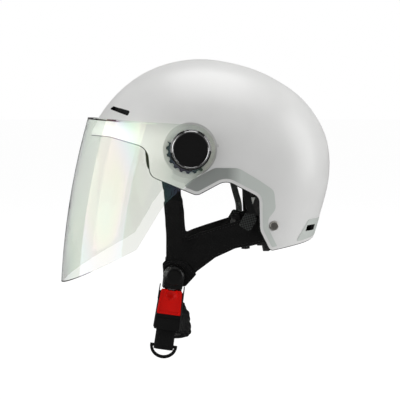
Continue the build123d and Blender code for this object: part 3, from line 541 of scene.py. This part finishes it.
def cover(side, loose):
    """Padded Y-shaped cover, with sewn channels along its edges."""
    front = slack_front(COVER_FRONT) if loose else COVER_FRONT
    arm = slack_arm(COVER_ARM) if loose else COVER_ARM
    name = "right" if loose else "left"
    o = piece("sleeve_" + name, slab([front, arm], -2.0, 2.0), SLEEVE, "helmet", "sleeve_fabric",
              "strap_sleeve_" + name)
    soften(o, 0.0009, 14, 0.6)
    fi, ai = inset(front, 2.4), inset(arm, 2.4)
    seams = [fi[1:5], [fi[-4], fi[-3], fi[-2], fi[-1], fi[0]], ai[0:6], ai[8:13]]
    for v in o.data.vertices:
        x, z = v.co.x / MM, v.co.z / MM
        groove = max(0.0, 1 - (near_line(x, z, seams) / 1.3) ** 2)
        y = v.co.y / MM
        y -= math.copysign(0.55 * groove, y)
        v.co.y = side * abs(sheet_y(x, z) + y) * MM
    if side > 0:
        o.data.flip_normals()
    dashes("stitches_" + name, seams, lambda x, z: sheet_y(x, z) - 1.65, "helmet", side)
    hem = slack_front(HEM) if loose else HEM
    c = piece("hem_" + name, slab([hem], -80.8, -77.6), SLEEVE, "helmet", "sleeve_fabric", "sleeve_collar_" + name)
    soften(c, 0.0008, 8, 0.6)
    if side > 0:
        for v in c.data.vertices:
            v.co.y = -v.co.y - (0.0011 if loose else 0.0)
        c.data.flip_normals()
    hi = inset(hem, 2.0)
    dashes("hem_stitches_" + name, [hi[-1:] + hi[:5]], lambda x, z: -80.75 + (1.1 if loose else 0), "helmet", side)


cover(-1, False)
cover(1, True)
webbing("strap_front_left", front_route() + SNUG_TAIL, 17.4, 1.7, "helmet", "webbing_black", ["front_webbing_left"])
chin = webbing("strap_chin", [(x, -y, z) for x, y, z in front_route(True)] + CHIN, 17.4, 1.7, None,
               "webbing_black", ["chin_strap", "chin_strap_end"])
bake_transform(chin)
for side, sign in (("left", 1), ("right", -1)):
    mid = REAR_MID if sign > 0 else slack_arm(REAR_MID)
    webbing("strap_rear_" + side, [(x, sign * (-76.2 - 0.1167 * (x + 20)), z) for x, z in mid], 14.0, 1.7, "helmet",
            "webbing_black", ["rear_webbing_" + side], across=(-0.3, 0, 1))

lean = math.radians(8.4)
turn = Matrix.Rotation(lean, 3, "Y")
hang_at = Vector((-29.6, -81.3, -61.7))
loop = [(-5.1, -55), (-5.1, -63), (-5.2, -71.4), (-6.2, -78.4), (-6.85, -83.0), (-6.1, -85.4), (-4.05, -86.3),
        (-2.0, -85.4), (-1.25, -83.0), (-1.9, -78.4), (-2.9, -71.4), (-3.1, -63), (-3.1, -55)]
webbing("strap_pull", [tuple(hang_at + turn @ Vector((0, y, z))) for y, z in loop], 19.8, 1.7, "buckle",
        "webbing_black", ["pull_webbing"], across=tuple(turn @ Vector((1, 0, 0))))

for name, cap in (("crown_pad", 0.005), ("brow_pad", 0.004), ("rear_pad", 0.005), ("temple_pad_left", 0.004),
                  ("temple_pad_right", 0.004), ("chin_pad", 0.003)):
    pad = copy_of(name, "soft_" + name, PAD, "helmet", "pad_fabric", name)
    puff(pad, cap)


plug = bmesh.new()                                    # black foam behind the front slots
ends = []
for sign in (-1, 1):
    ends.append([plug.verts.new((x * MM, sign * (27 + (x + 97) * 1.4) * MM, z * MM))
                 for x, z in inset(FRONT_SLOT, 0.12)])
for i in range(4):
    plug.faces.new((ends[0][i], ends[0][(i + 1) % 4], ends[1][(i + 1) % 4], ends[1][i]))
plug.faces.new(ends[0])
plug.faces.new(ends[1])
bmesh.ops.recalc_face_normals(plug, faces=plug.faces)
piece("slot_foam", plug, FOAM, "helmet", "liner_black", smooth=False)

BEAD = new_material("cap_bead", grey(0.42), 0.09, 1.0)
worn = node(BEAD, "ShaderNodeTexNoise", Scale=220.0, Detail=3.0)
link(BEAD, coords(BEAD), "Vector", worn, "Vector")
tint(BEAD, worn, "Fac", grey(0.07), grey(0.16), into="Roughness")


def bead(name, body, y, radius, tube):
    """Polished bead round the face of a hinge cap."""
    bm = bmesh.new()
    n, m = 96, 12
    rows = []
    for i in range(n):
        a = 2 * math.pi * i / n
        ring = []
        for k in range(m):
            b = 2 * math.pi * k / m
            r = radius + tube * math.cos(b)
            ring.append(bm.verts.new((PIVOT[0] + r * math.cos(a), y + tube * math.sin(b) * math.copysign(1, y),
                                      PIVOT[2] + r * math.sin(a))))
        rows.append(ring)
    for i in range(n):
        for k in range(m):
            bm.faces.new((rows[i][k], rows[i][(k + 1) % m], rows[(i + 1) % n][(k + 1) % m], rows[(i + 1) % n][k]))
    bmesh.ops.recalc_face_normals(bm, faces=bm.faces)
    return piece(name, bm, BEAD, body, "cap_gloss")


for side, y in (("left", -0.1158), ("right", 0.1158)):
    bead("cap_bead_" + side, side + "_cap", y, 0.0180, 0.0009)


# ---------------------------------------------------------------- stage, light, camera
FLOOR_Z = cad_box[0].z - 0.034         # below the buckle when it is drawn off its tongue
bm = bmesh.new()
bmesh.ops.create_circle(bm, cap_ends=True, segments=96, radius=40.0)
me = bpy.data.meshes.new("floor")
bm.to_mesh(me)
bm.free()
floor = bpy.data.objects.new("floor", me)
floor.location = (0, 0, FLOOR_Z)
scene.collection.objects.link(floor)
FLOOR = new_material("floor_white", grey(0.12), 0.9, Specular_IOR_Level=0.0, Emission_Color=(1, 1, 1, 1),
                     Emission_Strength=0.97)
me.materials.append(FLOOR)
rays = node(FLOOR, "ShaderNodeLightPath")
seen_rays = math_node(FLOOR, "MAXIMUM", rays.outputs["Is Camera Ray"], rays.outputs["Is Transmission Ray"])
dim = math_node(FLOOR, "SUBTRACT", 0.80, math_node(FLOOR, "MULTIPLY", rays.outputs["Is Glossy Ray"], 0.70))
glow = math_node(FLOOR, "MAXIMUM", dim, math_node(FLOOR, "MULTIPLY", seen_rays, 0.97))
FLOOR.node_tree.links.new(glow, FLOOR.node_tree.nodes["Principled BSDF"].inputs["Emission Strength"])

world = bpy.data.worlds.new("studio")
world.use_nodes = True
scene.world = world
nt = world.node_tree
bg = nt.nodes["Background"]
bg.inputs["Strength"].default_value = W_WORLD
heading = nt.nodes.new("ShaderNodeTexCoord")
split = nt.nodes.new("ShaderNodeSeparateXYZ")
nt.links.new(heading.outputs["Generated"], split.inputs[0])
shade = nt.nodes.new("ShaderNodeMapRange")             # the room is dark on the wearer's left
for key, value in {"From Min": -0.75, "From Max": 0.35, "To Min": 0.02, "To Max": 1.0}.items():
    shade.inputs[key].default_value = value
nt.links.new(split.outputs["Y"], shade.inputs["Value"])
nt.links.new(shade.outputs["Result"], bg.inputs["Color"])
seen = nt.nodes.new("ShaderNodeBackground")
seen.inputs["Color"].default_value = (1, 1, 1, 1)
seen.inputs["Strength"].default_value = 1.0
path = nt.nodes.new("ShaderNodeLightPath")
either = nt.nodes.new("ShaderNodeMath")
either.operation = "MAXIMUM"
mix = nt.nodes.new("ShaderNodeMixShader")
nt.links.new(path.outputs["Is Camera Ray"], either.inputs[0])
nt.links.new(path.outputs["Is Transmission Ray"], either.inputs[1])
nt.links.new(either.outputs[0], mix.inputs[0])
nt.links.new(bg.outputs[0], mix.inputs[1])
nt.links.new(seen.outputs[0], mix.inputs[2])
nt.links.new(mix.outputs[0], nt.nodes["World Output"].inputs[0])


def area_light(name, place, size, power, aim=(0, 0, 0), seen_by_diffuse=True):
    data = bpy.data.lights.new(name, "AREA")
    data.shape, data.size, data.size_y, data.energy = "RECTANGLE", size[0], size[1], power
    o = bpy.data.objects.new(name, data)
    o.location = place
    o.rotation_euler = (Vector(aim) - Vector(place)).to_track_quat("-Z", "Y").to_euler()
    o.visible_diffuse = seen_by_diffuse
    scene.collection.objects.link(o)


area_light("top", (0.1, 0.0, 1.9), (1.8, 1.4), P_TOP)
area_light("left", (-1.45, -0.75, 0.75), (1.4, 1.7), P_LEFT)
area_light("rear", (1.6, -0.2, 0.6), (1.0, 1.5), P_REAR)
area_light("panel", (-1.45, -0.52, 0.18), (2.15, 1.5), P_PANEL, seen_by_diffuse=False)   # mirrored by the visor
area_light("far", (0.2, 1.9, 0.9), (1.8, 1.2), P_FAR)

SWING, RISE, REACH = math.radians(3.0), math.radians(3.5), 1.6
back = Vector((-math.sin(SWING) * math.cos(RISE), -math.cos(SWING) * math.cos(RISE), math.sin(RISE)))
cam = bpy.data.cameras.new("camera")
cam.sensor_width = 36.0
cam.lens = 36.0 * REACH / 0.430
camera = bpy.data.objects.new("camera", cam)
camera.location = back * REACH
camera.rotation_euler = (-back).to_track_quat("-Z", "Y").to_euler()
scene.collection.objects.link(camera)
scene.camera = camera
scene.view_settings.view_transform = "Standard"
